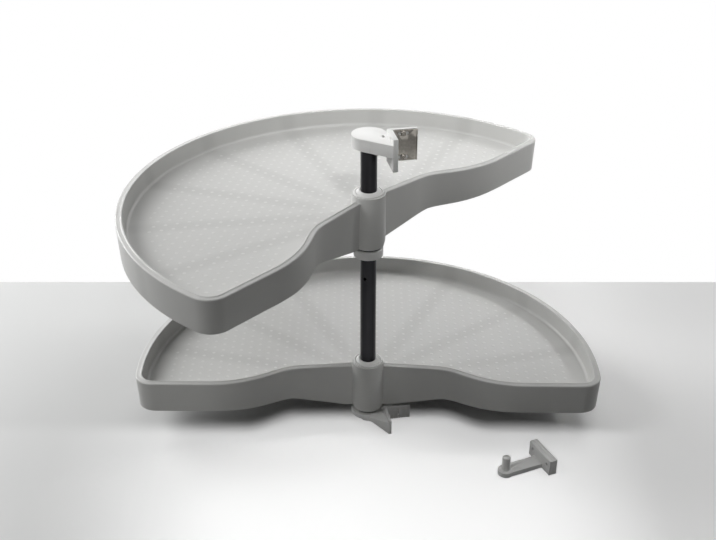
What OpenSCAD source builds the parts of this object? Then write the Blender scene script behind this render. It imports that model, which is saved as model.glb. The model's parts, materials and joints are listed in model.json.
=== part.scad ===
// Half-moon corner carousel: two swinging trays on a pole between two post brackets.
// Origin: pole axis at the underside of the bottom bracket. +Z up, +X and -Y along the
// bracket legs, which nest on the corner of a cabinet post. Millimetres.

/* [Carousel] */
// Outside radius of a tray
tray_r = 375; // [330:5:450]
// Height from one tray rim to the other
tray_gap = 300; // [240:5:400]
// Height of the lower tray's rim above the foot of the bottom bracket
lower_rim_z = 106; // [104:1:130]
// Height from the upper rim to the underside of the top arm
head_room = 83; // [60:1:160]
// Turn of the lower tray as set down, degrees
lower_yaw = -11.5; // [-180:0.5:180]
// Turn of the upper tray as set down, degrees
upper_yaw = 37; // [-180:0.5:180]

/* [Tray outline] */
// How far the front edge of a lobe lies in front of the pole axis
front_drop = 61.5; // [50:0.5:80]
// How far the front edge lies in front of the axis at the hub
hub_drop = 4; // [2:0.5:10]
// Distance from the axis to the bend where the edge leaves the hub
waist_x = 125.5; // [110:0.5:140]
// Drop of the edge at that bend
waist_drop = 15.5; // [12:0.5:22]
// Distance from the axis to the bend where the lobe starts
lobe_x = 204; // [190:0.5:230]
// Radius of the hollow bend next to the hub
waist_r = 80; // [40:1:120]
// Radius of the swell into the lobe
lobe_r = 180; // [120:1:190]
// Radius of the outer front corner
corner_r = 32; // [26:1:50]

/* [Tray section] */
// Depth from the rim down to the floor
tray_depth = 28; // [22:0.5:32]
// Height of the outer skirt
skirt_h = 53.5; // [45:0.5:60]
// Wall thickness of the moulding
wall = 3; // [2:0.1:3.4]
// Width of the flat rim
rim_w = 10.5; // [9.5:0.1:14]
// Draft of the skirt, as the inward lean at its foot
draft = 2.5; // [1:0.1:3]
// Inward lean of the inner wall at its foot
inner_draft = 2.5; // [1:0.1:4]
// Radius of the cove between the inner wall and the floor
cove_r = 5; // [4:0.5:9]
// Height of the small bead along the inner edge of the rim
bead_h = 0.8; // [0.4:0.1:1.5]
// Thickness of an underside rib
rib_t = 2.5; // [1.5:0.1:4]
// Number of underside ribs of a tray
rib_count = 7; // [3:1:9]

/* [Hub] */
// Outside diameter of the hub
hub_d = 52; // [50:1:60]
// Height of the hub above the rim
hub_up = 7; // [4:0.5:12]
// Depth of the hub below the rim
hub_down = 80; // [70:1:82]
// Outside diameter of the bush in the top of the hub
top_bush_d = 46; // [42:0.5:47]
// Outside diameter of the bush in the foot of the hub
foot_bush_d = 40; // [38:0.5:44]
// Depth of a bush in the hub
bush_len = 15; // [8:0.5:20]
// Height that the top bush stands above the hub
bush_proud = 5; // [4:0.5:7]
// Inward taper of the hub at its foot
hub_foot_in = 2; // [0.5:0.5:4]
// Height of that taper
hub_foot_h = 10; // [6:1:20]

/* [Pole] */
// Outside diameter of the pole
pole_d = 25; // [22:0.5:28]
// Wall thickness of the pole
pole_wall = 1.5; // [1:0.1:2]
// Diameter of the height holes through the pole
height_hole_d = 5.5; // [3:0.1:6]
// Step between the two tray heights
height_step = 45; // [30:1:60]
// Turn of the height holes, degrees
hole_yaw = 233; // [0:1:360]
// Diameter of a pivot pin
pin_d = 13; // [10:0.5:14]
// Length of a pivot pin beyond its arm
pin_len = 24; // [20:0.5:30]

/* [Collar] */
// Outside diameter of the height collar
collar_d = 46; // [42:0.5:50]
// Height of the collar
collar_h = 14; // [10:0.5:18]
// Diameter of the clamp screw
clamp_screw_d = 5; // [4:0.5:6]
// Outside diameter of a thrust washer
washer_d = 40; // [34:0.5:42]
// Thickness of a thrust washer
washer_t = 3.6; // [2:0.1:5]

/* [Brackets] */
// Distance from the pole axis to the side face of the post
post_x = 29; // [28:0.5:34]
// Distance from the pole axis forward to the back face of the post
post_y = 14; // [12:0.5:20]
// Length of each leg on the post
leg_len = 40; // [36:1:50]
// Thickness of a plastic leg
leg_t = 4.5; // [3:0.1:5]
// Radius of the rounded end of the top arm
top_end_r = 26; // [22:0.5:28]
// Thickness of the top arm
top_arm_t = 19; // [14:0.5:24]
// Height of the top legs
top_leg_h = 50; // [44:1:60]
// Height of the top arm's underside above the foot of the top legs
top_leg_below = 22; // [16:0.5:26]
// Thickness of the skin over the keeper
arm_skin = 4; // [2:0.5:6]
// Distance from the axis to the joint between arm and keeper
keeper_split = 4; // [1:0.5:6]
// Radius of the rounded end of the bottom arm
low_end_r = 27; // [24:0.5:28]
// Height of the bottom bracket
low_h = 22; // [18:0.5:24]
// Gap between the top of the bottom legs and the hub that turns above them
low_leg_gap = 1; // [0.5:0.5:4]
// Thickness of the bottom arm at its rounded end
low_arm_t = 8; // [6:0.5:12]
// Radius of the foot under the bottom pin
foot_r = 12; // [9:0.5:16]
// Diameter of a screw hole
screw_hole_d = 4.5; // [3.5:0.1:5.5]
// Thickness of a packing plate
packer_t = 3; // [2:0.1:4]
// Thickness of the steel plate on the top bracket
steel_t = 1.5; // [1:0.1:2.5]
// Length of a slot in the steel plate
slot_len = 16; // [12:0.5:20]
// Width of a slot in the steel plate
slot_w = 6; // [5:0.1:7]
// Distance from a slot to the end of the top legs
slot_inset = 6.5; // [6:0.5:10]
// Distance between the grip grooves on the bottom leg
grip_pitch = 4; // [3:0.5:6]

/* [Loose bracket] */
// Place of the loose bracket's pin to the right of the pole axis
spare_x = 182; // [150:1:260]
// Place of its pin in front of the pole axis
spare_y = 186; // [150:1:260]
// Turn of the loose bracket, degrees
spare_yaw = 12.5; // [-90:0.5:90]
// Distance from its pin to the face of its plate
spare_reach = 58.5; // [45:0.5:80]
// Thickness of its arm
spare_arm_t = 8; // [6:0.5:12]
// Radius of the rounded end of its arm
spare_end_r = 12.5; // [11:0.5:14]
// Length of its plate in front of the arm
spare_front = 32.5; // [25:0.5:40]
// Length of its plate behind the arm
spare_back = 27; // [20:0.5:40]
// Height of its plate
spare_h = 26.5; // [20:0.5:35]
// Thickness of one of its packing plates
spare_packer_t = 4; // [2:0.5:6]
// Height of its screw holes
spare_hole_z = 16.5; // [12:0.5:18]

/* [Hidden] */
$fn = 64;

plastic = [0.78, 0.78, 0.76];
dark_plastic = [0.2, 0.2, 0.2];
steel = [0.25, 0.25, 0.26];
bright_steel = [0.72, 0.7, 0.66];

// running clearance on a radius, and the clearance of a piece held in its seat
run = 0.05;
seat = 0.02;
// overlap of shapes that form one moulding, and extra length of a cutting shape
bite = 1;
cut = 1;

pole_r = pole_d / 2;
pin_r = pin_d / 2;
// the pin's thinner shank sits in the arm, under its shoulder
shank_r = pin_r - 1.5;
hub_r = hub_d / 2;
upper_rim_z = lower_rim_z + tray_gap;
arm_z = upper_rim_z + head_room;
arm_top = arm_z + top_arm_t;
top_leg_z = arm_z - top_leg_below;
lower_hub_foot = lower_rim_z - hub_down;
upper_hub_foot = upper_rim_z - hub_down;
collar_z = upper_hub_foot - washer_t - collar_h - 2 * run;
collar_mid = collar_z + collar_h / 2;

// ---- tray outline: straight edges joined by arcs, inset by i towards the inside ----
waist = [waist_x, -waist_drop];
lobe = [lobe_x, -front_drop];
edge1 = atan2(hub_drop - waist_drop, waist_x);
edge2 = atan2(waist_drop - front_drop, lobe_x - waist_x);
function inward(a) = [-sin(a), cos(a)];
function mitre(a, b) = (inward(a) + inward(b)) / (1 + inward(a) * inward(b));
waist_mitre = mitre(edge1, edge2);
lobe_mitre = mitre(edge2, 0);
waist_c = waist - waist_r * waist_mitre;
lobe_c = lobe + lobe_r * lobe_mitre;
corner_c = [sqrt(pow(tray_r - corner_r, 2) - pow(front_drop - corner_r, 2)),
            corner_r - front_drop];
corner_a = atan2(corner_c.y, corner_c.x);
waist_run = waist_r * tan((edge1 - edge2) / 2);
lobe_run = lobe_r * tan(-edge2 / 2);

function arc(c, r, a0, a1, n) =
    [for (k = [0 : n]) c + r * [cos(a0 + (a1 - a0) * k / n), sin(a0 + (a1 - a0) * k / n)]];
function hub_point(i, x) = [x, -hub_drop + i / cos(edge1) + x * tan(edge1)];
function waist_arc(i) = arc(waist_c, waist_r + i, 90 + edge1, 90 + edge2, 6);
function lobe_arc(i) = arc(lobe_c, lobe_r - i, 270 + edge2, 270, 8);
function corner_arc(i) = arc(corner_c, corner_r - i, 270, 360 + corner_a, 8);
function flip(p) = [for (k = [len(p) - 1 : -1 : 0]) [-p[k].x, p[k].y]];
function side_points(i) = concat(waist_arc(i), lobe_arc(i), corner_arc(i));
function tray_outline(i) =
    concat([hub_point(i, 0)], side_points(i),
           arc([0, 0], tray_r - i, corner_a, 180 - corner_a, 48), flip(side_points(i)));

// ---- tray wall section: x is the distance inside the outline, y the height ----
// Neighbouring stretches of wall lap by a little, and one of the two is tucked inside
// the other's skin, so that they join as one moulding.
lap = 1;
tuck = 0.05;
rim_edge_r = 2.2;
rim_z = -bead_h;
cove_x = rim_w + cove_r + inner_draft;
// the foot of the cove dips a little into the floor, and its lip ends inside the floor
dip = 0.15;
cove_z = cove_r - tray_depth - dip;
lip = 2;
lip_drop = 0.6;
floor_t = wall - 0.4;
floor_edge = cove_x - 3;
skirt_top_in = wall + 0.9;
// The foot of the skirt is at depth foot, and its faces keep their lean down to there.
skirt_from = rim_edge_r + bead_h;
function lean(total, foot) = total * (foot - skirt_from) / (skirt_h - skirt_from);
function wall_section(t, foot) = concat(
    arc([rim_edge_r, rim_z - rim_edge_r], rim_edge_r - t, 180, 90, 4),
    [[rim_w - 3.2, rim_z - t], [rim_w - 2.4, -t], [rim_w - 0.8, -t], [rim_w - t, rim_z - t]],
    arc([cove_x, cove_z], cove_r + t, 180, 270, 6),
    [[cove_x + lip, -tray_depth - lip_drop], [cove_x + lip, -tray_depth - floor_t + lip_drop]],
    arc([cove_x, cove_z], cove_r + wall - t, 270, 180, 6),
    [[rim_w - wall + t, rim_z - wall + t], [skirt_top_in - t, rim_z - wall + t],
     [skirt_top_in + lean(draft + wall - skirt_top_in, foot) - t, -foot + t],
     [lean(draft, foot) + t, -foot + t]]);

function along(a) = [cos(a), sin(a)];
module straight_wall(p, a, length, t, foot) {
    translate([p.x, p.y, 0]) rotate([90, 0, a + 90])
        linear_extrude(length) polygon(wall_section(t, foot));
}
// the arc's centre lies inside the tray
module swelling_wall(c, r, a0, a1, t, foot) {
    translate([c.x, c.y, 0]) rotate([0, 0, a0]) rotate_extrude(angle = a1 - a0)
        polygon([for (p = wall_section(t, foot)) [r - p.x, p.y]]);
}
// the arc's centre lies outside the tray
module hollow_wall(c, r, a0, a1, t, foot) {
    translate([c.x, c.y, 0]) rotate([0, 0, a1]) rotate_extrude(angle = a0 - a1)
        polygon([for (p = wall_section(t, foot)) [r + p.x, p.y]]);
}

// the front skirt deepens from the lobe towards the hub
web_foot_gap = 1.5;
web_h = hub_down - web_foot_gap;
web_shoulder = 10;
web_flat = hub_r + web_shoulder;
web_waist_more = 6;
web_waist_h = skirt_h + web_waist_more;
// the web's edge levels out a little before the end of the swell into the lobe
web_end_back = 15;
web_end_x = lobe_x + lobe_run - web_end_back;
module above_web_edge() {
    translate([0, front_drop, 0]) rotate([90, 0, 0]) linear_extrude(3 * front_drop)
        polygon([[-hub_r, cut], [-hub_r, -web_h], [web_flat, -web_h], [waist_x, -web_waist_h],
                 [web_end_x, -skirt_h], [tray_r, -skirt_h], [tray_r, cut]]);
}

module side_wall() {
    edge1_len = norm(waist - hub_point(0, 0)) - waist_run;
    edge2_start = waist + (waist_run - lap) * along(edge2);
    edge2_len = norm(lobe - waist) - waist_run - lobe_run;
    edge3_start = lobe + [lobe_run - lap, 0];
    corner_lap = lap / corner_r * 180 / PI;
    intersection() {
        union() {
            straight_wall(hub_point(0, 0), edge1, edge1_len + lap, tuck, hub_down);
            hollow_wall(waist_c, waist_r, 90 + edge1, 90 + edge2, 0, hub_down);
            straight_wall(edge2_start, edge2, edge2_len + 2 * lap, tuck, hub_down);
            swelling_wall(lobe_c, lobe_r, 270 + edge2, 270, 0, hub_down);
        }
        above_web_edge();
    }
    straight_wall(edge3_start, 0, corner_c.x - edge3_start.x + lap, 2 * tuck, skirt_h);
    swelling_wall(corner_c, corner_r, 270, 360 + corner_a + corner_lap, tuck, skirt_h);
}

rib_end = tray_r - (draft + wall) / 2;
rib_top = -tray_depth - floor_t / 2;
rib_first = 14;
// a rib's lower edge climbs from near the hub's foot, and runs level above the skirt's foot
rib_start_up = 14;
rib_slope_len = 60;
rib_climb_len = 80;
rib_level_up = 9;
module rib(a) {
    start = hub_r - 2 * bite;
    slope_end = hub_r + rib_slope_len;
    level_z = -skirt_h + rib_level_up;
    rotate([90, 0, a]) translate([0, 0, -rib_t / 2]) linear_extrude(rib_t)
        polygon([[start, rib_top], [start, -hub_down + rib_start_up], [slope_end, -skirt_h],
                 [slope_end + rib_climb_len, level_z], [rib_end, level_z], [rib_end, rib_top]]);
}

cavity_r = pole_r + 3.5;
hub_edge = 0.8;
module hub_body() {
    foot_r = hub_r - hub_foot_in;
    rotate_extrude() polygon([
        [cavity_r - bite, -hub_down], [foot_r - hub_edge, -hub_down], [foot_r, -hub_down + hub_edge],
        [hub_r, -hub_down + hub_foot_h], [hub_r, hub_up - hub_edge], [hub_r - hub_edge, hub_up],
        [cavity_r - bite, hub_up]]);
}
module tray() {
    color(plastic) difference() {
        union() {
            side_wall();
            mirror([1, 0, 0]) side_wall();
            swelling_wall([0, 0], tray_r, corner_a, 180 - corner_a, 0, skirt_h);
            translate([0, 0, -tray_depth - floor_t]) linear_extrude(floor_t)
                polygon(tray_outline(floor_edge));
            for (k = [0 : rib_count - 1])
                rib(rib_first + (180 - 2 * rib_first) * k / (rib_count - 1));
            hub_body();
        }
        translate([0, 0, -hub_down - cut]) cylinder(h = hub_down + hub_up + 2 * cut, r = cavity_r);
        translate([0, 0, hub_up - bush_len])
            cylinder(h = bush_len + cut, r = top_bush_d / 2 + seat);
        translate([0, 0, -hub_down - cut])
            cylinder(h = bush_len + cut, r = foot_bush_d / 2 + seat);
    }
}

module ring(z, h, outer, inner) {
    translate([0, 0, z]) difference() {
        cylinder(h = h, r = outer);
        translate([0, 0, -cut]) cylinder(h = h + 2 * cut, r = inner);
    }
}
// a rim, a groove and a cone that climbs to a lip round the pole
module hub_top_bush(rim) {
    edge = 0.8;
    groove = 0.6;
    lip_w = 1;
    bore_r = pole_r + run;
    outer_r = top_bush_d / 2;
    groove_r = outer_r - edge - groove;
    lip_r = bore_r + 2.5;
    ring_top = bush_len + bush_proud / 2;
    top = bush_len + bush_proud;
    color(plastic) translate([0, 0, rim + hub_up - bush_len]) rotate_extrude() polygon([
        [bore_r, 0], [outer_r, 0], [outer_r, ring_top - edge], [outer_r - edge, ring_top],
        [groove_r, ring_top], [groove_r, ring_top - groove], [groove_r - groove, ring_top - groove],
        [lip_r, top], [lip_r - lip_w, top], [lip_r - lip_w, top - edge], [bore_r, top - edge]]);
}
module hub_foot_bush(rim) {
    color(dark_plastic)
        ring(rim - hub_down, bush_len - cut - seat, foot_bush_d / 2, pole_r + run);
}
module thrust_washer(z) {
    color(dark_plastic) ring(z, washer_t, washer_d / 2, pole_r + run);
}

module lower_tray() translate([0, 0, lower_rim_z]) rotate([0, 0, lower_yaw]) tray();
module upper_tray() translate([0, 0, upper_rim_z]) rotate([0, 0, upper_yaw]) tray();
module lower_hub_top_bush() hub_top_bush(lower_rim_z);
module upper_hub_top_bush() hub_top_bush(upper_rim_z);
module lower_hub_foot_bush() hub_foot_bush(lower_rim_z);
module upper_hub_foot_bush() hub_foot_bush(upper_rim_z);
module bottom_thrust_washer() thrust_washer(lower_hub_foot - washer_t - run);
module collar_thrust_washer() thrust_washer(upper_hub_foot - washer_t - run);

// ---- pole ----
bush_flange = 1.5;
plug_len = pin_len + 3;
pole_foot = low_h + run;
pole_head = arm_z - run;
module height_hole(z) {
    translate([0, 0, z]) rotate([0, 90, hole_yaw]) cylinder(h = pole_d + 2 * cut,
        r = height_hole_d / 2, center = true);
}
module pole_tube() {
    tube_z = pole_foot + bush_flange;
    tube_len = pole_head - bush_flange - tube_z;
    color(steel) difference() {
        ring(tube_z, tube_len, pole_r, pole_r - pole_wall);
        height_hole(collar_mid);
        height_hole(collar_mid - height_step);
    }
}
module pole_bush() {
    color(plastic) difference() {
        union() {
            cylinder(h = bush_flange, r = pole_r);
            cylinder(h = plug_len, r = pole_r - pole_wall - seat);
        }
        translate([0, 0, -cut]) cylinder(h = plug_len + 2 * cut, r = pin_r + run);
    }
}
module pole_foot_bush() translate([0, 0, pole_foot]) pole_bush();
module pole_top_bush() translate([0, 0, pole_head]) mirror([0, 0, 1]) pole_bush();

// ---- height collar ----
screw_tip = pole_r + 2 * run;
screw_back = collar_d / 2 - 1;
module height_collar() {
    color(plastic) difference() {
        ring(collar_z, collar_h, collar_d / 2, pole_r + run);
        translate([0, 0, collar_mid]) rotate([0, 90, hole_yaw - 180])
            cylinder(h = collar_d, r = clamp_screw_d / 2 + seat);
    }
}
module collar_clamp_screw() {
    socket_r = clamp_screw_d / 4;
    socket_depth = 2.5;
    color(steel) translate([0, 0, collar_mid]) rotate([0, 90, hole_yaw - 180]) difference() {
        translate([0, 0, screw_tip]) cylinder(h = screw_back - screw_tip, r = clamp_screw_d / 2);
        translate([0, 0, screw_back - socket_depth])
            cylinder(h = socket_depth + cut, r = socket_r, $fn = 6);
    }
}

// ---- brackets ----
leg_out_x = post_x - leg_t;
leg_back_y = leg_t - post_y;
leg_front_y = -post_y - leg_len;
// angle from the axis at which a line from p touches the circle of radius r
function touch(p, r, side) = atan2(p.y, p.x) + side * acos(r / norm(p));
// rounded end about the axis, widening to the full length of the side leg
module arm_plan(r) {
    front = [leg_out_x, leg_front_y];
    back = [leg_out_x, leg_back_y];
    back_touch = norm(back) > r ? [r * along(touch(back, r, 1))] : [];
    circle(r = r);
    polygon(concat([[0, 0], r * along(touch(front, r, -1)), front, [post_x, leg_front_y],
                    [post_x, leg_back_y], back], back_touch));
}
module legs(z, h) {
    translate([leg_out_x, leg_front_y, z]) cube([leg_t, leg_len + leg_t, h]);
    translate([leg_out_x, -post_y, z]) cube([leg_t + leg_len, leg_t, h]);
}
module side_hole(y, z, thick) {
    translate([post_x - leg_t - cut, y, z]) rotate([0, 90, 0])
        cylinder(h = leg_t + thick + 2 * cut, r = screw_hole_d / 2);
}
module back_hole(x, z) {
    translate([x, -post_y - cut, z]) rotate([-90, 0, 0])
        cylinder(h = leg_t + 2 * cut, r = screw_hole_d / 2);
}
// slot through an arm for a screw into the cabinet's floor or top
arm_slot_x = 18;
arm_slot_y = 15;
arm_slot_len = 9;
module arm_slot(z, h) {
    shift = (arm_slot_len - screw_hole_d) / 2;
    translate([arm_slot_x, -arm_slot_y, z - cut]) {
        for (s = [-1, 1]) translate([0, s * shift, 0]) cylinder(h = h + 2 * cut, r = screw_hole_d / 2);
        translate([-screw_hole_d / 2, -shift, 0]) cube([screw_hole_d, 2 * shift, h + 2 * cut]);
    }
}

low_leg_top = lower_hub_foot - low_leg_gap;
low_side_hole_y = post_y + leg_len / 2;
low_side_spacing = 20;
low_back_hole_x = post_x + 14;
low_back_spacing = 16;
low_back_hole_z = 6;
module bottom_bracket() {
    grip_depth = 0.8;
    grip_w = 1.6;
    grips = floor((leg_len - 6) / grip_pitch);
    color(plastic) difference() {
        union() {
            intersection() {
                linear_extrude(low_h) arm_plan(low_end_r);
                translate([0, leg_len * 2, 0]) rotate([90, 0, 0]) linear_extrude(leg_len * 4)
                    polygon([[-low_end_r - cut, low_h - low_arm_t], [0, low_h - low_arm_t],
                             [leg_out_x, 0], [post_x, 0], [post_x, low_h],
                             [-low_end_r - cut, low_h]]);
            }
            legs(0, low_leg_top);
            cylinder(h = low_h, r = foot_r);
        }
        translate([0, 0, low_h - pin_seat]) cylinder(h = pin_seat + cut, r = shank_r + seat);
        arm_slot(0, low_h);
        for (s = [-1, 1]) {
            side_hole(-low_side_hole_y + s * low_side_spacing / 2, low_h / 2, 0);
            back_hole(low_back_hole_x + s * low_back_spacing / 2, low_back_hole_z);
        }
        for (k = [0 : grips - 1])
            translate([post_x + 4 + k * grip_pitch, -post_y - cut, -cut])
                cube([grip_w, grip_depth + cut, low_leg_top - 3 + cut]);
    }
}
pin_seat = 16;
module pivot_pin(seat_len) {
    lead = 1;
    dimple_r = 3.2;
    dimple = 1.5;
    color(plastic) difference() {
        union() {
            cylinder(h = seat_len + bite, r = shank_r);
            translate([0, 0, seat_len + run]) cylinder(h = pin_len - lead, r = pin_r);
            translate([0, 0, seat_len + run + pin_len - lead])
                cylinder(h = lead, r1 = pin_r, r2 = pin_r - lead);
        }
        translate([0, 0, seat_len + run + pin_len - dimple])
            cylinder(h = dimple + cut, r = dimple_r);
    }
}
module bottom_pivot_pin() translate([0, 0, low_h - pin_seat]) pivot_pin(pin_seat);

top_seat = top_arm_t - arm_skin;
module top_pivot_pin()
    translate([0, 0, arm_z + top_seat]) mirror([0, 0, 1]) pivot_pin(top_seat);

// the keeper closes the arm round the pin and is held by a tongue along the front edge
split_gap = 0.15;
tongue_t = 4;
tongue_w = 7;
tongue_len = 24;
// the tongue's distance from the arm's front edge, and its start past the rounded end
tongue_inset = 1;
tongue_from = 4;
// turn of the arm's front edge about the axis
front_touch = touch([leg_out_x, leg_front_y], top_end_r, -1);
module at_front_edge(inset, past) {
    rotate([0, 0, front_touch]) translate([top_end_r - inset, past, arm_z]) children();
}
module tongue_bar(grow) {
    at_front_edge(tongue_inset + tongue_w + grow, tongue_from - grow) translate([0, 0, -cut])
        cube([tongue_w + 2 * grow, tongue_len + 2 * grow, tongue_t + grow + cut]);
}
module at_keeper_screw() {
    at_front_edge(tongue_inset + tongue_w / 2, tongue_from + tongue_len - tongue_w / 2) children();
}
keeper_screw_r = 1.75;
module keeper_side(x, z, h) {
    translate([x - 2 * top_end_r, -2 * top_end_r, z]) cube([2 * top_end_r, 4 * top_end_r, h]);
}
module top_bracket() {
    side_hole_top = top_leg_h - 5;
    color(plastic) difference() {
        union() {
            translate([0, 0, arm_z]) linear_extrude(top_arm_t) arm_plan(top_end_r);
            legs(top_leg_z, top_leg_h);
        }
        keeper_side(-keeper_split, arm_z - cut, top_seat + cut);
        tongue_bar(split_gap);
        translate([0, 0, arm_z - cut]) cylinder(h = top_seat + cut, r = shank_r + seat);
        at_keeper_screw() cylinder(h = keeper_screw_len + cut, r = keeper_screw_r + seat);
        arm_slot(arm_z, top_arm_t);
        for (z = [top_side_low, top_side_high]) side_hole(-top_side_y, z, 0);
        for (s = [-1, 1]) translate([plate_mid_x, -post_y - cut, plate_mid_z + s * slot_z])
            rotate([-90, 0, 0]) cylinder(h = leg_t + 2 * cut, r = plate_screw_r + seat);
    }
}
module top_bracket_keeper() {
    color(plastic) difference() {
        union() {
            intersection() {
                translate([0, 0, arm_z]) linear_extrude(top_seat - split_gap)
                    arm_plan(top_end_r);
                keeper_side(-keeper_split - split_gap, arm_z, top_seat);
            }
            intersection() {
                tongue_bar(0);
                translate([0, 0, arm_z]) linear_extrude(tongue_t) arm_plan(top_end_r);
            }
        }
        translate([0, 0, arm_z - cut]) cylinder(h = top_seat + 2 * cut, r = shank_r + seat);
        at_keeper_screw() translate([0, 0, -cut])
            cylinder(h = tongue_t + 2 * cut, r = keeper_screw_r + seat);
    }
}
keeper_screw_len = 12;
keeper_head_r = 3.6;
keeper_head_h = 2.4;
module pan_screw(length, shank_r, head_r, head_h) {
    slot_w = head_r / 4;
    slot_depth = head_h / 2;
    edge = head_h / 2;
    color(bright_steel) difference() {
        union() {
            cylinder(h = length, r = shank_r);
            translate([0, 0, -edge]) cylinder(h = edge, r = head_r);
            translate([0, 0, -head_h]) cylinder(h = head_h - edge, r1 = head_r - edge, r2 = head_r);
        }
        for (a = [0, 90]) rotate([0, 0, a])
            translate([-head_r / 2, -slot_w / 2, -head_h - cut])
            cube([head_r, slot_w, slot_depth + cut]);
    }
}
module keeper_screw() {
    at_keeper_screw() translate([0, 0, -seat])
        pan_screw(keeper_screw_len, keeper_screw_r, keeper_head_r, keeper_head_h);
}

top_side_y = post_y + leg_len / 2;
top_side_low = top_leg_z + 8;
top_side_high = top_leg_z + top_leg_h - 5;
module top_packing_plate() {
    color(plastic) difference() {
        translate([post_x, leg_front_y, top_leg_z])
            cube([packer_t, leg_len - steel_t - seat, top_leg_h]);
        for (z = [top_side_low, top_side_high]) side_hole(-top_side_y, z, packer_t);
    }
}
plate_edge = 1;
plate_x = post_x + packer_t + plate_edge;
plate_len = leg_len - packer_t - plate_edge;
plate_mid_x = plate_x + plate_len / 2 - 3;
plate_mid_z = top_leg_z + top_leg_h / 2;
slot_z = top_leg_h / 2 - slot_inset;
plate_screw_r = 2;
module plate_slot(z) {
    shift = (slot_len - slot_w) / 2;
    translate([plate_mid_x, -post_y + cut, z]) rotate([90, 0, 0]) {
        for (s = [-1, 1]) translate([s * shift, 0, 0])
            cylinder(h = steel_t + 2 * cut, r = slot_w / 2);
        translate([-shift, -slot_w / 2, 0]) cube([2 * shift, slot_w, steel_t + 2 * cut]);
    }
}
module top_steel_plate() {
    lip = 1.6;
    color(bright_steel) difference() {
        union() {
            translate([plate_x, -post_y - steel_t, top_leg_z + plate_edge])
                cube([plate_len, steel_t, top_leg_h - 2 * plate_edge]);
            translate([plate_x + plate_len - steel_t, -post_y - steel_t - lip, top_leg_z + plate_edge])
                cube([steel_t, lip + plate_edge, top_leg_h - 2 * plate_edge]);
        }
        for (s = [-1, 1]) plate_slot(plate_mid_z + s * slot_z);
    }
}
module steel_plate_screws() {
    for (s = [-1, 1])
        translate([plate_mid_x, -post_y - steel_t, plate_mid_z + s * slot_z])
            rotate([-90, 0, 0]) pan_screw(leg_t + steel_t - 1, plate_screw_r, 4.2, 2);
}

// ---- loose bracket: a flat plate with packing plates in place of the two legs ----
module at_spare() translate([spare_x, -spare_y, 0]) rotate([0, 0, spare_yaw]) children();
module spare_slab(x, t) {
    translate([x, -spare_front, 0]) cube([t, spare_front + spare_back, spare_h]);
}
spare_hole_front = spare_front - 9;
spare_hole_back = spare_back - 9;
module spare_holes() {
    thick = leg_t + 2 * spare_packer_t + 1;
    for (y = [-spare_hole_front, spare_hole_back])
        translate([spare_reach - cut, y, spare_hole_z]) rotate([0, 90, 0])
            cylinder(h = thick + 2 * cut, r = screw_hole_d / 2);
}
spare_leg_t = leg_t + 1;
module loose_bracket() {
    color(plastic) at_spare() difference() {
        union() {
            cylinder(h = spare_arm_t, r = spare_end_r);
            translate([0, -spare_end_r + 1, 0])
                cube([spare_reach + bite, 2 * spare_end_r - 2, spare_arm_t]);
            spare_slab(spare_reach, spare_leg_t);
        }
        spare_holes();
        translate([0, 0, spare_arm_t - spare_seat]) cylinder(h = spare_seat + cut, r = shank_r + seat);
    }
}
spare_seat = 6;
module loose_pivot_pin() at_spare() translate([0, 0, spare_arm_t - spare_seat])
    pivot_pin(spare_seat);
module loose_packer(x) {
    groove = 0.6;
    color(plastic) at_spare() difference() {
        spare_slab(x, spare_packer_t);
        spare_holes();
        translate([x - cut, -spare_front - cut, spare_h - groove])
            cube([groove + cut, spare_front + spare_back + 2 * cut, groove + cut]);
    }
}
module loose_inner_packer() loose_packer(spare_reach + spare_leg_t);
module loose_outer_packer() loose_packer(spare_reach + spare_leg_t + spare_packer_t);

bottom_bracket();
bottom_pivot_pin();
bottom_thrust_washer();
pole_tube();
pole_foot_bush();
pole_top_bush();
lower_tray();
lower_hub_top_bush();
lower_hub_foot_bush();
height_collar();
collar_clamp_screw();
collar_thrust_washer();
upper_tray();
upper_hub_top_bush();
upper_hub_foot_bush();
top_bracket();
top_bracket_keeper();
keeper_screw();
top_pivot_pin();
top_packing_plate();
top_steel_plate();
steel_plate_screws();
loose_bracket();
loose_pivot_pin();
loose_inner_packer();
loose_outer_packer();
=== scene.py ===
"""Looks of a half-moon corner carousel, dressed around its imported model."""

import json
import math

import bmesh
import bpy
from mathutils import Matrix, Vector


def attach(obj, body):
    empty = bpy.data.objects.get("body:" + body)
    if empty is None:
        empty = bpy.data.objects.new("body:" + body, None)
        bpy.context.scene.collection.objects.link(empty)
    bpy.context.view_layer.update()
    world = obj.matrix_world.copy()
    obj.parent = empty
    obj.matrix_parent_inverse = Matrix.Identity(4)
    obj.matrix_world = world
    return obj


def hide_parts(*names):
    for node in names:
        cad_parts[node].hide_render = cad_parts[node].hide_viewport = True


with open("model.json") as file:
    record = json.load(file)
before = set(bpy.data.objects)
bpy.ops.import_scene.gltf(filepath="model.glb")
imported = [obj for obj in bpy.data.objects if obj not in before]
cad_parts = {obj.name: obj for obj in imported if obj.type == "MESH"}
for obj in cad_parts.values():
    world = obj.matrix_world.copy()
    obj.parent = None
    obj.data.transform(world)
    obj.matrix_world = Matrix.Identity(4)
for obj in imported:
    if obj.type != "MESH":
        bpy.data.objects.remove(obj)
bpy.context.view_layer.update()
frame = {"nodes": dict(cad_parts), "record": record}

MM = 0.001
UP = (0, 0, 1)
# how close in millimetres counts as level, and the steps round a turned piece
NEAR = 0.01
ROUND_STEPS = 96

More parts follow.
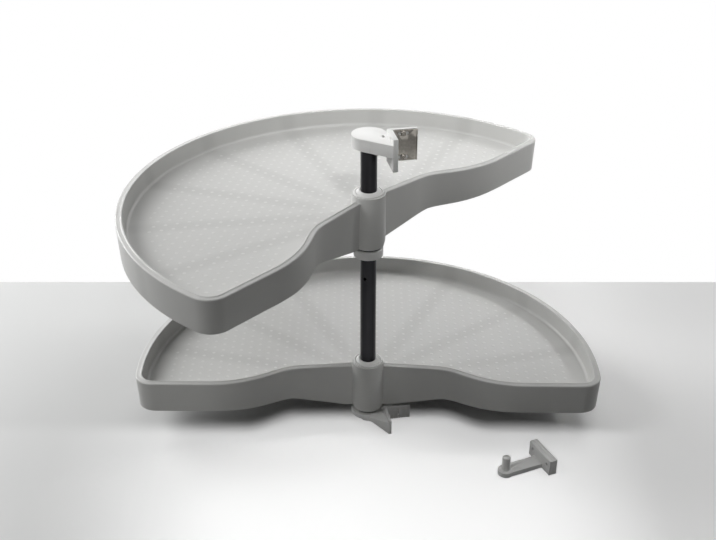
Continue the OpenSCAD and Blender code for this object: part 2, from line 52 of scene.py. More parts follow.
# ---- sizes in millimetres, the model's own where it has them ----
TRAY_R = 375.0
LOWER_RIM, UPPER_RIM = 106.0, 406.0
LOWER_YAW, UPPER_YAW = -11.5, 37.0
FRONT_DROP, HUB_DROP = 61.5, 4.0
WAIST = Vector((125.5, -15.5))
LOBE = Vector((204.0, -61.5))
WAIST_R, LOBE_R, CORNER_R = 80.0, 180.0, 32.0
TRAY_DEPTH, SKIRT = 28.0, 53.5
WALL = 3.0
HUB_R, HUB_UP, HUB_DOWN = 26.0, 7.0, 80.0
HUB_BORE_R, HUB_FOOT_R, HUB_TAPER = 16.0, 24.0, 10.0
POLE_R = 12.5
# clearances of what turns and of what is seated
RUN, SEAT = 0.05, 0.02
BUSH_LEN = 15.0
FOOT_BUSH_LEN = BUSH_LEN - 1.02
TOP_BUSH_R, FOOT_BUSH_R = 23.0, 20.0
COLLAR_R, COLLAR_H = 23.0, 14.0
WASHER_R, WASHER_T = 20.0, 3.6
RIB_COUNT, RIB_FIRST, RIB_T = 7, 14.0, 2.5
RIB_STEP = (180 - 2 * RIB_FIRST) / (RIB_COUNT - 1)
SOFT_EDGE, SOFT_MIDDLE = 0.8, 0.25


def along(degrees):
    return Vector((math.cos(math.radians(degrees)), math.sin(math.radians(degrees))))


def inward(degrees):
    return Vector((-math.sin(math.radians(degrees)), math.cos(math.radians(degrees))))


def mitre(a, b):
    return (inward(a) + inward(b)) / (1 + inward(a).dot(inward(b)))


# bends of the tray's front edge
EDGE1 = math.degrees(math.atan2(HUB_DROP + WAIST.y, WAIST.x))
EDGE2 = math.degrees(math.atan2(LOBE.y - WAIST.y, LOBE.x - WAIST.x))
WAIST_C = WAIST - WAIST_R * mitre(EDGE1, EDGE2)
LOBE_C = LOBE + LOBE_R * mitre(EDGE2, 0)
CORNER_C = Vector((math.sqrt((TRAY_R - CORNER_R) ** 2 - (FRONT_DROP - CORNER_R) ** 2),
                   CORNER_R - FRONT_DROP))
CORNER_A = math.degrees(math.atan2(CORNER_C.y, CORNER_C.x))
WAIST_RUN = WAIST_R * math.tan(math.radians(EDGE1 - EDGE2) / 2)
LOBE_RUN = LOBE_R * math.tan(math.radians(-EDGE2) / 2)


# ---- bmesh helpers, all in millimetres ----
def arc(centre, radius, start, end, steps):
    """Points on an arc in a profile's plane, angles in degrees."""
    return [(centre[0] + radius * along(start + (end - start) * k / steps).x,
             centre[1] + radius * along(start + (end - start) * k / steps).y)
            for k in range(steps + 1)]


def soft_corner(r, z):
    """Points round the upper outer corner of a turned profile."""
    return [(r, z - SOFT_EDGE), (r - SOFT_MIDDLE, z - SOFT_MIDDLE), (r - SOFT_EDGE, z)]


def height_at(line, x):
    """The second coordinate of a broken line at x."""
    for (x0, y0), (x1, y1) in zip(line, line[1:]):
        if x <= x1:
            return y0 + (y1 - y0) * (x - x0) / max(x1 - x0, 1e-9)
    return line[-1][1]


def verts_of(geom):
    return [g for g in geom if isinstance(g, bmesh.types.BMVert)]


def faces_at(verts):
    """The faces that use these vertices, each once, in a fixed order."""
    return list(dict.fromkeys(f for v in verts for f in v.link_faces))


def edges_of(geom):
    return [g for g in geom if isinstance(g, bmesh.types.BMEdge)]


def chain(bm, points, closed=False):
    """A string of edges through 3-D points."""
    verts = [bm.verts.new(p) for p in points]
    pairs = list(zip(verts, verts[1:])) + ([(verts[-1], verts[0])] if closed else [])
    return verts + [bm.edges.new(pair) for pair in pairs]


def swing(bm, geom, centre, degrees, steps):
    """Sweeps a profile about an upright axis and returns the last one."""
    return bmesh.ops.spin(bm, geom=geom, cent=(centre[0], centre[1], 0), axis=UP,
                          angle=math.radians(degrees), steps=steps,
                          use_merge=False)["geom_last"]


def push(bm, geom, vector):
    """Sweeps a profile straight and returns the last one."""
    new = bmesh.ops.extrude_edge_only(bm, edges=edges_of(geom))["geom"]
    new = [g for g in new if not isinstance(g, bmesh.types.BMFace)]
    bmesh.ops.translate(bm, verts=verts_of(new), vec=vector)
    return new


def turned(bm, profile, at=(0, 0, 0)):
    """Adds a closed ring about the upright axis from an (r, z) profile."""
    start = chain(bm, [(r, 0, z) for r, z in profile], closed=True)
    before = set(bm.verts) - set(verts_of(start))
    bmesh.ops.spin(bm, geom=start, cent=(0, 0, 0), axis=UP, angle=math.tau, steps=ROUND_STEPS,
                   use_merge=True)
    new = [v for v in bm.verts if v not in before]
    bmesh.ops.remove_doubles(bm, verts=new, dist=0.0005)
    new = [v for v in bm.verts if v not in before]
    bmesh.ops.translate(bm, verts=new, vec=at)
    bmesh.ops.recalc_face_normals(bm, faces=faces_at(new))


def plate(bm, outline, low, high):
    """A flat outline raised from one height to another."""
    face = bm.faces.new([bm.verts.new((p[0], p[1], low)) for p in outline])
    raised = verts_of(bmesh.ops.extrude_face_region(bm, geom=[face])["geom"])
    bmesh.ops.translate(bm, verts=raised, vec=(0, 0, high - low))
    verts = raised + list(face.verts)
    bmesh.ops.recalc_face_normals(bm, faces=faces_at(verts))
    return verts


def boundary(bm, axis, value):
    """Open edges whose ends both lie at a value of one axis."""
    return [e for e in bm.edges if e.is_boundary
            and all(abs(v.co[axis] - value) < NEAR for v in e.verts)]


def to_mesh(bm, name):
    mesh = bpy.data.meshes.new(name)
    bm.to_mesh(mesh)
    bm.free()
    return mesh


def add_object(name, data):
    obj = bpy.data.objects.new(name, data)
    bpy.context.scene.collection.objects.link(obj)
    return obj


def piece(name, bm, body, finish, nodes, place=None, sharp=32):
    """Makes an object of the bmesh, places it, gives it its finish, hangs it on its body's empty
    and hides the model's nodes it stands for.
    """
    matrix = Matrix.Scale(MM, 4) @ (place or Matrix.Identity(4))
    bmesh.ops.transform(bm, matrix=matrix, verts=bm.verts)
    mesh = to_mesh(bm, name)
    mesh.shade_smooth()
    mesh.set_sharp_from_angle(angle=math.radians(sharp))
    mesh.materials.append(finish)
    obj = add_object(name, mesh)
    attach(obj, body)
    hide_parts(*nodes)


# ---- finishes ----
class Value:
    """A socket with arithmetic: an expression on values adds its Math nodes."""

    def __init__(self, finish, socket):
        self.finish = finish
        self.socket = socket

    def __add__(self, other):
        return self.finish.maths("ADD", self, other)

    def __radd__(self, other):
        return self.finish.maths("ADD", other, self)

    def __sub__(self, other):
        return self.finish.maths("SUBTRACT", self, other)

    def __rsub__(self, other):
        return self.finish.maths("SUBTRACT", other, self)

    def __mul__(self, other):
        return self.finish.maths("MULTIPLY", self, other)

    def __rmul__(self, other):
        return self.finish.maths("MULTIPLY", other, self)

    def __pow__(self, other):
        return self.finish.maths("POWER", self, other)


class Finish:
    """A material under construction."""

    def __init__(self, name):
        self.material = bpy.data.materials.new(name)
        self.material.use_nodes = True
        self.tree = self.material.node_tree
        self.tree.nodes.clear()
        self.where = self.node("ShaderNodeTexCoord", out="Object")

    def node(self, kind, settings=None, inputs=None, out=0):
        node = self.tree.nodes.new(kind)
        for key, value in (settings or {}).items():
            setattr(node, key, value)
        for key, value in (inputs or {}).items():
            if isinstance(value, Value):
                self.tree.links.new(value.socket, node.inputs[key])
            else:
                node.inputs[key].default_value = value
        return Value(self, node.outputs[out])

    def maths(self, operation, *values):
        return self.node("ShaderNodeMath", {"operation": operation}, dict(enumerate(values)))

    def mapped(self, **how):
        """Object coordinates, turned or scaled."""
        return self.node("ShaderNodeMapping", inputs={"Vector": self.where, **how})

    def axis(self, vector, name):
        return self.node("ShaderNodeSeparateXYZ", inputs={0: vector}, out=name)

    def noise(self, scale, detail=2.0, rough=0.5, where=None):
        return self.node("ShaderNodeTexNoise", inputs={
            "Vector": where or self.where, "Scale": scale, "Detail": detail, "Roughness": rough})

    def blend(self, mask, low, high):
        """A colour between two, by a mask."""
        return self.node("ShaderNodeMix", {"data_type": "RGBA"},
                         {0: mask, 6: low, 7: high}, out=2)

    def step(self, value, low, high):
        """0 below low, 1 above high, smooth between."""
        return self.node("ShaderNodeMapRange", {"interpolation_type": "SMOOTHSTEP"},
                         {"Value": value, "From Min": low, "From Max": high})

    def within(self, value, centre, full, none):
        """1 up to one distance from a centre, 0 past another, smooth between."""
        return 1 - self.step(self.maths("ABSOLUTE", value - centre), full, none)

    def bump(self, height, distance):
        return self.node("ShaderNodeBump", inputs={"Height": height, "Distance": distance})

    def surface(self, inputs):
        shader = self.node("ShaderNodeBsdfPrincipled", inputs=inputs)
        output = self.tree.nodes.new("ShaderNodeOutputMaterial")
        self.tree.links.new(shader.socket, output.inputs["Surface"])
        return self.material


def rgb(r, g, b):
    return (r, g, b, 1.0)


def moulded_plastic(name, pale, dark, rough, yaw=None):
    """Satin moulded plastic: clouding, a fine grain and scuffs; a tray's also with painted shade
    over its ribs and a painted highlight on its dots, both set by its yaw.
    """
    f = Finish(name)
    cloud = f.noise(7.0, 3.0)
    mottle = f.noise(60.0, 3.0, 0.6)
    grains = f.noise(1900.0, 2.0, 0.6)
    scuff = f.step(f.noise(33.0, 5.0, 0.7), 0.62, 0.78)
    tone = f.blend(cloud * 0.7 + mottle * 0.3, rgb(*dark), rgb(*pale))
    sheen = rough + 0.06 * (mottle - 0.5) + 0.05 * scuff
    if yaw is not None:
        # painted shade: the floor is darker in a faint band over each rib below it
        dot_highlight = f.node("ShaderNodeAttribute", {"attribute_name": "dot"}, out="Fac")
        turned_back = f.mapped(Rotation=(0, 0, math.radians(-yaw)))
        x = f.axis(turned_back, "X")
        y = f.axis(turned_back, "Y")
        angle = f.maths("ARCTAN2", y, x)
        beside = f.maths("PINGPONG", angle - math.radians(RIB_FIRST), math.radians(RIB_STEP) / 2)
        radius = (x * x + y * y) ** 0.5
        rib_band_shade = (1 - f.step(beside * radius, 0.004, 0.022)) * f.step(radius, 0.03, 0.1)
        tone = f.blend(rib_band_shade * 0.45, tone, rgb(*(0.88 * c for c in dark)))
        # painted highlight: the crowns of the dots are paler, and a little glossier
        tone = f.blend(dot_highlight, tone, rgb(*(min(1.06 * c, 1.0) for c in pale)))
        sheen = sheen - 0.05 * dot_highlight
    return f.surface({
        "Base Color": tone, "Roughness": sheen, "IOR": 1.49, "Specular IOR Level": 0.4,
        "Normal": f.bump(grains + 0.4 * mottle, 0.00006)})


def drawn_tube(name, pale, dark, rough):
    """Dark drawn tube: fine lines along it, a stretched gloss, and a few rubs."""
    f = Finish(name)
    lines = f.noise(900.0, 3.0, 0.7, f.mapped(Scale=(1, 1, 0.02)))
    cloud = f.noise(25.0, 3.0)
    rub = f.step(f.noise(90.0, 6.0, 0.75), 0.62, 0.78)
    return f.surface({
        "Base Color": f.blend(cloud + 0.4 * rub, rgb(*dark), rgb(*pale)),
        "Metallic": 1.0,
        "Roughness": rough + 0.06 * (lines - 0.5) + 0.08 * rub,
        "Anisotropic": 0.9, "Anisotropic Rotation": 0.25})


def zinc_plate(name):
    """Bright zinc plating with soft spangle and scratches."""
    f = Finish(name)
    spangle = f.noise(240.0, 2.0)
    scratches = f.step(f.noise(1400.0, 4.0, 0.8, f.mapped(Scale=(1, 0.05, 0.05))), 0.6, 0.72)
    return f.surface({
        "Base Color": f.blend(spangle, rgb(0.22, 0.205, 0.18), rgb(0.4, 0.38, 0.345)),
        "Metallic": 1.0,
        "Roughness": 0.12 + 0.1 * spangle + 0.12 * scratches,
        "Normal": f.bump(scratches + 0.5 * spangle, 0.00002)})


TRAY_TONES = ((0.60, 0.60, 0.585), (0.55, 0.55, 0.535), 0.4)
TRAY_PLASTIC = {"lower": moulded_plastic("lower_tray_plastic", *TRAY_TONES, LOWER_YAW),
                "upper": moulded_plastic("upper_tray_plastic", *TRAY_TONES, UPPER_YAW)}
GREY_PLASTIC = moulded_plastic("bracket_plastic", (0.81, 0.81, 0.795), (0.76, 0.76, 0.745), 0.38)
DARK_PLASTIC = moulded_plastic("dark_washer_plastic", (0.035, 0.035, 0.036),
                               (0.022, 0.022, 0.023), 0.45)
POLE_STEEL = drawn_tube("pole_steel", (0.03, 0.03, 0.032), (0.018, 0.018, 0.02), 0.3)
ZINC = zinc_plate("plated_steel")

SLOT_FINISH = {"tray_plastic": TRAY_PLASTIC["lower"], "light_grey_plastic": GREY_PLASTIC,
               "dark_washer_plastic": DARK_PLASTIC, "pole_steel": POLE_STEEL,
               "plated_steel": ZINC}
SLOTS = {sub["node"]: sub["material_slot"] for sub in frame["record"]["subparts"]}
for node, slot in SLOTS.items():
    materials = frame["nodes"][node].data.materials
    materials.clear()
    materials.append(SLOT_FINISH[slot])


# ---- trays ----
RIM_Z, RIM_R = -0.8, 2.2
# the bead along the rim as (inset, height), from the inner wall outwards
RIM_BEAD = [(10.62, -1.5), (10.35, -0.55), (9.9, -0.08), (9.0, 0.0), (8.1, -0.08),
            (7.6, -0.5), (7.0, RIM_Z)]
SKIRT_FOOT_OUT, SKIRT_FOOT_IN = 2.5, 5.5
UNDER_RIM_OUT, UNDER_RIM_IN, UNDER_RIM_Z = 3.9, 7.5, -3.8
COVE_R = 5.0
COVE = (18.0, COVE_R - TRAY_DEPTH)
FLOOR_EDGE = COVE[0] + 1.2
UNDER_Z = -TRAY_DEPTH - WALL + 0.2
WAIST_STEPS, LOBE_STEPS, CORNER_STEPS, BACK_STEPS, HUB_STEPS = 12, 16, 14, 72, 20


def wall_section():
    """Floor, cove, inner wall, beaded rim, skirt and the underside: (inset, height)."""
    return ([(FLOOR_EDGE, -TRAY_DEPTH)] + arc(COVE, COVE_R, 270, 180, 8) + RIM_BEAD
            + arc((RIM_R, RIM_Z - RIM_R), RIM_R, 90, 180, 6)
            + [(SKIRT_FOOT_OUT, -SKIRT), (SKIRT_FOOT_IN, -SKIRT),
               (UNDER_RIM_OUT, UNDER_RIM_Z), (UNDER_RIM_IN, UNDER_RIM_Z)]
            + arc(COVE, COVE_R + WALL, 180, 264, 7)
            + [(COVE[0], UNDER_Z), (FLOOR_EDGE, UNDER_Z)])


HUB_SIDE_X = 19.0
WEB_FLAT = HUB_R + 10
WEB_FOOT = HUB_DOWN - 1.5
# depth of the front skirt by the distance from the middle
WEB_LINE = [(0, WEB_FOOT), (WEB_FLAT, WEB_FOOT), (WAIST.x, SKIRT + 6),
            (LOBE.x + LOBE_RUN - 15, SKIRT), (TRAY_R, SKIRT)]
# rows of the wall between the hollow bend and the hub
WALL_ROWS = (80.0, 58.0, WEB_FLAT, HUB_SIDE_X)
# the skirt keeps its depth behind this line, and this close to the round back
FRONT_FEET_Y, BACK_BAND = 30.0, 10.0


def back_to_hub(bm, profile):
    """Runs the wall from the hollow bend back into the hub, in a few stretches."""
    slope = along(EDGE1)
    for x in WALL_ROWS:
        profile = push(bm, profile, (0, 0, 0))
        for vert in verts_of(profile):
            run = (x - vert.co.x) / slope.x
            vert.co.x += slope.x * run
            vert.co.y += slope.y * run


def deepen_skirt(bm):
    """Draws the foot of the front skirt down along its own faces, towards the hub."""
    feet = [v for v in bm.verts if abs(v.co.z + SKIRT) < NEAR and v.co.y < FRONT_FEET_Y]
    moves = []
    for vert in feet:
        top = max((e.other_vert(vert) for e in vert.link_edges), key=lambda v: v.co.z)
        depth = height_at(WEB_LINE, abs(vert.co.x))
        if depth > SKIRT and math.hypot(*vert.co.xy) < TRAY_R - BACK_BAND:
            moves.append((vert, top.co + (vert.co - top.co)
                          * (depth + top.co.z) / (SKIRT + top.co.z)))
    for vert, place in moves:
        vert.co = place


def sweep_wall(bm):
    """Sweeps the wall along one half of the tray's outline and mirrors it."""
    out = along(90 + EDGE1)
    start = chain(bm, [(*(WAIST_C + (WAIST_R + inset) * out), z) for inset, z in wall_section()])
    back_to_hub(bm, start)
    now = swing(bm, start, WAIST_C, EDGE2 - EDGE1, WAIST_STEPS)
    now = push(bm, now, (*(along(EDGE2) * ((LOBE - WAIST).length - WAIST_RUN - LOBE_RUN)), 0))
    now = swing(bm, now, LOBE_C, -EDGE2, LOBE_STEPS)
    now = push(bm, now, (CORNER_C.x - LOBE.x - LOBE_RUN, 0, 0))
    now = swing(bm, now, CORNER_C, 90 + CORNER_A, CORNER_STEPS)
    swing(bm, now, (0, 0), 90 - CORNER_A, BACK_STEPS)
    deepen_skirt(bm)
    bmesh.ops.mirror(bm, geom=bm.verts[:] + bm.edges[:] + bm.faces[:], matrix=Matrix.Identity(4),
                     merge_dist=0.01, axis="X")
    bmesh.ops.remove_doubles(bm, verts=bm.verts, dist=0.002)


def close_floor(bm):
    """Fills the floor and its underside up to a ring inside the hub, clear of the pole."""
    ends = [v for v in bm.verts if v.is_boundary and abs(v.co.x - HUB_SIDE_X) < NEAR]
    inner = sorted(ends, key=lambda v: -v.co.y)[:2]
    lip = bm.edges.new(inner)
    turn = 180 - 2 * math.degrees(math.atan2(inner[0].co.y, inner[0].co.x))
    swing(bm, inner + [lip], (0, 0), turn, HUB_STEPS)
    bmesh.ops.remove_doubles(bm, verts=bm.verts, dist=0.002)
    for axis, value in ((2, -TRAY_DEPTH), (2, UNDER_Z), (0, -HUB_SIDE_X), (0, HUB_SIDE_X)):
        bmesh.ops.triangle_fill(bm, edges=boundary(bm, axis, value), use_beauty=True)
    bmesh.ops.recalc_face_normals(bm, faces=bm.faces)


def hub_profile():
    """The hub's wall, with the seats of both its bushes: (radius, height)."""
    foot_seat, top_seat = FOOT_BUSH_R + SEAT, TOP_BUSH_R + SEAT
    return ([(foot_seat, -HUB_DOWN), (HUB_FOOT_R - SOFT_EDGE, -HUB_DOWN),
             (HUB_FOOT_R, -HUB_DOWN + SOFT_EDGE), (HUB_R, -HUB_DOWN + HUB_TAPER)]
            + soft_corner(HUB_R, HUB_UP)
            + [(top_seat, HUB_UP), (top_seat, HUB_UP - BUSH_LEN),
               (HUB_BORE_R, HUB_UP - BUSH_LEN), (HUB_BORE_R, -HUB_DOWN + BUSH_LEN),
               (foot_seat, -HUB_DOWN + BUSH_LEN)])


# how far a rib sinks into hub and floor and ends inside the outline, and its lower edge's course
RIB_IN_HUB, RIB_IN_FLOOR, RIB_END_INSET = 2.0, 1.0, 4.0
RIB_HUB_CLEAR, RIB_SLOPE, RIB_CLIMB, RIB_RISE = 14.0, 60.0, 80.0, 9.0


def add_ribs(bm):
    """Upright ribs under the floor, from the hub to the skirt."""
    root, end, top = HUB_R - RIB_IN_HUB, TRAY_R - RIB_END_INSET, UNDER_Z + RIB_IN_FLOOR
    slope_end = HUB_R + RIB_SLOPE
    level = -SKIRT + RIB_RISE
    outline = [(root, top), (root, -HUB_DOWN + RIB_HUB_CLEAR), (slope_end, -SKIRT),
               (slope_end + RIB_CLIMB, level), (end, level), (end, top)]
    stand = Matrix.Rotation(math.pi / 2, 4, "X")
    for k in range(RIB_COUNT):
        verts = plate(bm, outline, -RIB_T / 2, RIB_T / 2)
        turn = Matrix.Rotation(math.radians(RIB_FIRST + RIB_STEP * k), 4, "Z")
        bmesh.ops.transform(bm, matrix=turn @ stand, verts=verts)


DOT_COLUMN, DOT_PITCH, DOT_START = 15.4, 17.8, -7.0
DOT_R, DOT_H = 3.0, 0.28
DOT_INSET, DOT_HUB_GAP = 42.0, 6.0


def front_edge(inset):
    """Half of the tray's front outline, from the middle to the outer corner, inset."""
    return ([(0.0, -HUB_DROP + inset / along(EDGE1).x)]
            + arc(WAIST_C, WAIST_R + inset, 90 + EDGE1, 90 + EDGE2, 8)
            + arc(LOBE_C, LOBE_R - inset, 270 + EDGE2, 270, 10)
            + arc(CORNER_C, CORNER_R - inset, 270, 360 + CORNER_A, 8))


def dot_places():
    """A triangular field of dots, clear of the cove and the hub."""
    reach = TRAY_R - DOT_INSET
    front = front_edge(DOT_INSET)
    columns, rows = int(reach / DOT_COLUMN), int(reach / DOT_PITCH)
    for i in range(-columns, columns + 1):
        x = i * DOT_COLUMN
        first = DOT_START + (DOT_PITCH / 2 if i % 2 else 0)
        low = height_at(front, abs(x))
        for j in range(-rows, rows + 2):
            y = first + j * DOT_PITCH
            if y > low and HUB_R + DOT_HUB_GAP < math.hypot(x, y) < reach:
                yield x, y


def dot_mesh():
    """One low dome, its foot a little under the floor."""
    bm = bmesh.new()
    start = chain(bm, [(DOT_R * 1.1, 0, -0.2), (DOT_R, 0, 0.06), (DOT_R * 0.78, 0, 0.6 * DOT_H),
                       (DOT_R * 0.45, 0, 0.92 * DOT_H), (0, 0, DOT_H)])
    bmesh.ops.spin(bm, geom=start, cent=(0, 0, 0), axis=UP, angle=math.tau, steps=12,
                   use_merge=True)
    bmesh.ops.remove_doubles(bm, verts=bm.verts, dist=0.001)
    bmesh.ops.holes_fill(bm, edges=[e for e in bm.edges if e.is_boundary], sides=0)
    bmesh.ops.recalc_face_normals(bm, faces=bm.faces)
    return to_mesh(bm, "dot")


def add_dots(bm):
    """Sets the dots on the floor. The layer "dot" is 1 on their crowns, where the tray's finish
    paints a highlight, and 0 elsewhere.
    """
    dot = dot_mesh()
    pale = bm.verts.layers.float.new("dot")
    for x, y in dot_places():
        count = len(bm.verts)
        bm.from_mesh(dot)
        bm.verts.ensure_lookup_table()
        for vert in bm.verts[count:]:
            vert[pale] = min(max(vert.co.z / DOT_H, 0.0) * 1.4, 1.0)
        bmesh.ops.translate(bm, verts=bm.verts[count:], vec=(x, y, -TRAY_DEPTH))
    bpy.data.meshes.remove(dot)


def tray(level, rim, yaw):
    bm = bmesh.new()
    sweep_wall(bm)
    close_floor(bm)
    turned(bm, hub_profile())
    add_ribs(bm)
    add_dots(bm)
    place = Matrix.Translation((0, 0, rim)) @ Matrix.Rotation(math.radians(yaw), 4, "Z")
    piece(level + "_half_moon_tray", bm, level + "_tray",
          TRAY_PLASTIC[level], [level + "_tray"], place)


tray("lower", LOWER_RIM, LOWER_YAW)
tray("upper", UPPER_RIM, UPPER_YAW)


# ---- bushes, collar and washers ----
def ring(name, profile, z, body, slot, node):
    bm = bmesh.new()
    turned(bm, profile, (0, 0, z))
    piece(name, bm, body, SLOT_FINISH[slot], [node])


BORE = POLE_R + RUN
BUSH_RING = BUSH_LEN + 2.5
BUSH_CAP = BUSH_LEN + 5.0
GROOVE_FLOOR = BUSH_RING - 1.8
# a flat ring, a narrow groove, a cone up to the cap, and a small step at the pole
TOP_BUSH = ([(BORE, 0), (TOP_BUSH_R, 0)] + soft_corner(TOP_BUSH_R, BUSH_RING)
            + [(TOP_BUSH_R - 2.2, BUSH_RING), (TOP_BUSH_R - 2.4, GROOVE_FLOOR),
               (TOP_BUSH_R - 3.3, GROOVE_FLOOR), (TOP_BUSH_R - 3.5, BUSH_RING - 0.2),
               (BORE + 2.9, BUSH_CAP - 0.1), (BORE + 2.5, BUSH_CAP), (BORE + 1.6, BUSH_CAP),
               (BORE + 1.5, BUSH_CAP - 0.8), (BORE, BUSH_CAP - 0.8)])
FOOT_BUSH = [(BORE, 0), (FOOT_BUSH_R, 0), (FOOT_BUSH_R, FOOT_BUSH_LEN), (BORE, FOOT_BUSH_LEN)]


def thick_ring(outer, height, edge):
    """A ring on the pole with its outer edges rounded."""
    return ([(BORE, 0), (outer - edge, 0)] + arc((outer - edge, edge), edge, 270, 360, 3)
            + arc((outer - edge, height - edge), edge, 0, 90, 3) + [(BORE, height)])


COLLAR = thick_ring(COLLAR_R, COLLAR_H, 1.0)
WASHER = thick_ring(WASHER_R, WASHER_T, 0.4)
LOWER_FOOT, UPPER_FOOT = LOWER_RIM - HUB_DOWN, UPPER_RIM - HUB_DOWN
for level, rim in (("lower", LOWER_RIM), ("upper", UPPER_RIM)):
    ring(level + "_cone_bush", TOP_BUSH, rim + HUB_UP - BUSH_LEN, level + "_tray",
         "light_grey_plastic", level + "_hub_top_bush")
    ring(level + "_sliding_bush", FOOT_BUSH, rim - HUB_DOWN, level + "_tray",
         "dark_washer_plastic", level + "_hub_foot_bush")
ring("height_ring", COLLAR, UPPER_FOOT - WASHER_T - COLLAR_H - 2 * RUN,
     "collar", "light_grey_plastic", "height_collar")
ring("collar_glide_washer", WASHER, UPPER_FOOT - WASHER_T - RUN,
     "collar", "dark_washer_plastic", "collar_thrust_washer")
ring("foot_glide_washer", WASHER, LOWER_FOOT - WASHER_T - RUN,
     "brackets", "dark_washer_plastic", "bottom_thrust_washer")


# ---- brackets, pins, screws and pole, taken over from the model with their edges rounded ----
# angles in degrees above which an edge is bevelled, and shaded sharp
BEVEL_ABOVE, EASED_SHARP = 35, 40


def eased(node, name, body, width):
    """A copy of a model's solid, its doubles merged and its sharp edges bevelled."""
    bm = bmesh.new()
    bm.from_mesh(frame["nodes"][node].data)
    bmesh.ops.scale(bm, vec=(1 / MM,) * 3, verts=bm.verts)
    bmesh.ops.remove_doubles(bm, verts=bm.verts, dist=0.004)
    bmesh.ops.dissolve_limit(bm, angle_limit=math.radians(0.8), verts=bm.verts, edges=bm.edges,
                             use_dissolve_boundaries=False, delimit=set())
    # the short edges round small holes stay sharp: the bevel is held back by the shortest
    shortest = 2 * width if width > 0.3 else 0
    edges = [e for e in bm.edges if e.is_manifold and e.calc_length() > shortest
             and e.calc_face_angle(0) > math.radians(BEVEL_ABOVE)]
    bmesh.ops.bevel(bm, geom=edges, offset=width, offset_type="OFFSET", segments=2, profile=0.5,
                    affect="EDGES", material=-1, clamp_overlap=True, miter_outer="SHARP")
    slot = SLOTS[node]
    piece(name, bm, body, SLOT_FINISH[slot], [node], sharp=EASED_SHARP)


for node, name, body, width in (
        ("bottom_bracket", "bottom_post_bracket", "brackets", 0.5),
        ("bottom_pivot_pin", "bottom_pin", "brackets", 0.4),
        ("pole_tube", "tube_pole", "pole", 0.2),
        ("pole_foot_bush", "pole_foot_plug", "pole", 0.3),
        ("pole_top_bush", "pole_top_plug", "pole", 0.3),
        ("collar_clamp_screw", "collar_grub_screw", "collar", 0.15),
        ("top_bracket", "top_post_bracket", "brackets", 0.7),
        ("top_bracket_keeper", "pin_keeper", "brackets", 0.8),
        ("keeper_screw", "pin_keeper_screw", "brackets", 0.2),
        ("top_pivot_pin", "top_pin", "brackets", 0.4),
        ("top_packing_plate", "top_packer", "brackets", 0.4),
        ("top_steel_plate", "slotted_plate", "brackets", 0.25),
        ("steel_plate_screws", "slotted_plate_screws", "brackets", 0.15),
        ("loose_bracket", "spare_bracket", "brackets", 0.6),
        ("loose_pivot_pin", "spare_pin", "brackets", 0.4),
        ("loose_inner_packer", "spare_inner_packer", "brackets", 0.4),
        ("loose_outer_packer", "spare_outer_packer", "brackets", 0.4)):
    eased(node, name, body, width)


# ---- stage, light and camera; the camera looks this many degrees to the right of +Y ----
LOOK_YAW = 11.0
TABLE_BACK, TABLE_FRONT, TABLE_HALF = 457.0, 3600.0, 4000.0


def seen_rays(tree):
    """1 for rays of the camera, and for those that gloss and glass send on."""
    path = tree.nodes.new("ShaderNodeLightPath")
    total = path.outputs["Is Camera Ray"]
    for name in ("Is Glossy Ray", "Is Transmission Ray"):
        larger = tree.nodes.new("ShaderNodeMath")
        larger.operation = "MAXIMUM"
        tree.links.new(total, larger.inputs[0])
        tree.links.new(path.outputs[name], larger.inputs[1])
        total = larger.outputs[0]
    return total


def table_finish():
    """White table, with painted shade to the left and a painted pool of light glowing in front
    of the trays. It throws less light back than it shows.
    """
    f = Finish("white_table")
    place = f.mapped(Rotation=(0, 0, math.radians(LOOK_YAW)))
    across = f.axis(place, "X")
    nearer = 0 - f.axis(place, "Y")
    seen = Value(f, seen_rays(f.tree))
    # the painted pool of light starts under the trays' front edge, which stands back at the
    # hollow bends
    hollow = 0.035 * f.step(f.maths("ABSOLUTE", across), 0.12, 0.2)
    front = f.step(nearer - hollow, -0.03, 0.02) * (1 - f.step(nearer, 0.3, 0.75))
    middle = f.within(across, 0.02, 0.2, 0.54)
    right = f.step(across, 0.25, 0.45) * (1 - f.step(across, 0.8, 1.6))
    # where the table throws more light back: before the left lobe and before the hub's foot
    near_left = f.step(nearer, 0.0, 0.2) * f.within(across, -0.15, 0.12, 0.4)
    near_foot = (f.step(nearer, 0.02, 0.08) * (1 - f.step(nearer, 0.12, 0.3))
                 * f.within(across, 0.04, 0.05, 0.2))
    # painted shade: the table as seen is darker towards the left
    white = f.blend(f.step(across, -0.45, 0.45), rgb(0.68, 0.685, 0.68), rgb(0.92, 0.92, 0.915))
    bounce = f.blend(f.maths("MAXIMUM", near_left, near_foot), rgb(0.16, 0.16, 0.16),
                     rgb(0.55, 0.55, 0.54))
    # painted light: the table glows, as no lamp, in front of the trays, most in the middle, and
    # faintly on a band to the right
    painted_glow = f.blend(seen * f.maths("MAXIMUM", front * (0.1 + 0.9 * middle), 0.34 * right),
                   rgb(0, 0, 0), rgb(0.47, 0.47, 0.47))
    return f.surface({"Base Color": f.blend(seen, bounce, white), "Roughness": 0.6,
                      "Specular IOR Level": 0.2, "Emission Color": painted_glow,
                      "Emission Strength": 1.0})


def build_table():
    bm = bmesh.new()
    bmesh.ops.create_grid(bm, x_segments=1, y_segments=1, size=1)
    for vert in bm.verts:
        vert.co.x *= TABLE_HALF
        vert.co.y = TABLE_BACK if vert.co.y > 0 else -TABLE_FRONT
    turn = Matrix.Rotation(math.radians(-LOOK_YAW), 4, "Z")
    bmesh.ops.transform(bm, matrix=Matrix.Scale(MM, 4) @ turn, verts=bm.verts)
    mesh = to_mesh(bm, "table")
    mesh.materials.append(table_finish())
    table = add_object("table", mesh)


build_table()

# middle of the trays, in metres: what the large lights are aimed at
TRAYS_MIDDLE = (0.05, 0.05, 0.25)


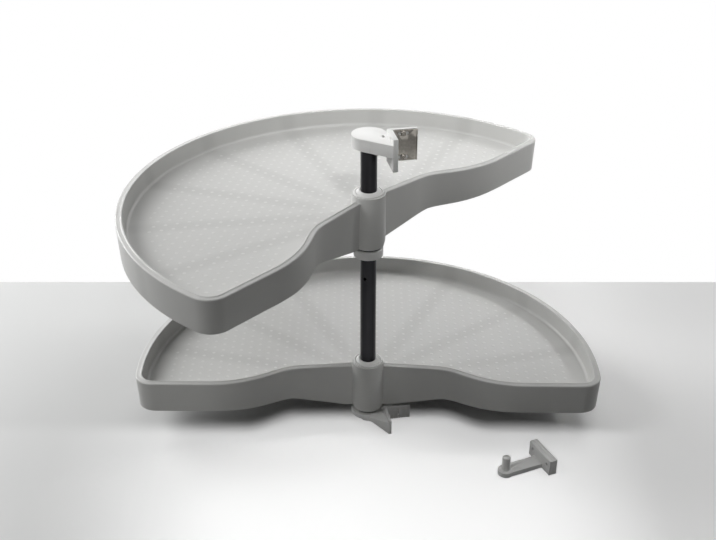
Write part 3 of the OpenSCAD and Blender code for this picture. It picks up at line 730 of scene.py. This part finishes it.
def soft_light(name, place, target, size, power, spread=180, height=None):
    """A round light, or an oval one where a height is given, aimed at a target."""
    lamp = bpy.data.lights.new(name, "AREA")
    lamp.shape = "ELLIPSE" if height else "DISK"
    lamp.spread = math.radians(spread)
    lamp.size = size
    if height:
        lamp.size_y = height
    lamp.energy = power
    light = add_object(name, lamp)
    light.location = place
    light.rotation_euler = (Vector(target) - Vector(place)).to_track_quat("-Z", "Y").to_euler()


soft_light("left_high_softbox", (-1.8, -0.3, 1.8), TRAYS_MIDDLE, 1.2, 16)
soft_light("left_back_softbox", (-1.6, 1.7, 1.1), TRAYS_MIDDLE, 1.4, 45)
soft_light("back_softbox", (0.3, 2.6, 1.1), TRAYS_MIDDLE, 2.8, 18)
soft_light("right_high_softbox", (1.0, 0.4, 2.2), (0.2, 0.1, 0.1), 1.0, 8)
soft_light("front_table_softbox", (0.1, -0.8, 2.2), (0.1, -0.55, 0.0), 0.4, 0.42, spread=50)
# a strip with a narrow spread: it reaches the inside of the back walls, and not the front ones
soft_light("front_strip", (0.3, -1.4, 2.0), (0.2, 0.47, 0.26), 1.1, 0.5, spread=16, height=0.25)
soft_light("right_strip", (1.8, 0.24, 1.4), (0.1, 0.17, 0.08), 0.5, 0.3, spread=18)


# strength of the white world, as light and as it is seen
WORLD_LIGHT, WORLD_SEEN = 0.05, 1.0


def build_world():
    world = bpy.data.worlds.new("white_studio")
    world.use_nodes = True
    nodes, links = world.node_tree.nodes, world.node_tree.links
    nodes.clear()
    strength = nodes.new("ShaderNodeMix")
    links.new(seen_rays(world.node_tree), strength.inputs[0])
    strength.inputs[2].default_value = WORLD_LIGHT
    strength.inputs[3].default_value = WORLD_SEEN
    background = nodes.new("ShaderNodeBackground")
    background.inputs["Color"].default_value = rgb(1, 1, 1)
    links.new(strength.outputs[0], background.inputs["Strength"])
    output = nodes.new("ShaderNodeOutputWorld")
    links.new(background.outputs[0], output.inputs["Surface"])
    bpy.context.scene.world = world


build_world()
bpy.context.scene.view_settings.view_transform = "Standard"

LENS_MM, SENSOR_MM = 56.86, 36.0
CAMERA_PLACE, CAMERA_TILT = (-0.3096, -1.5087, 1.1313), 28.92
camera_data = bpy.data.cameras.new("camera")
camera_data.lens = LENS_MM
camera_data.sensor_width = SENSOR_MM
camera = add_object("camera", camera_data)
camera.location = CAMERA_PLACE
camera.rotation_euler = (math.radians(90 - CAMERA_TILT), 0, math.radians(-LOOK_YAW))
bpy.context.scene.camera = camera
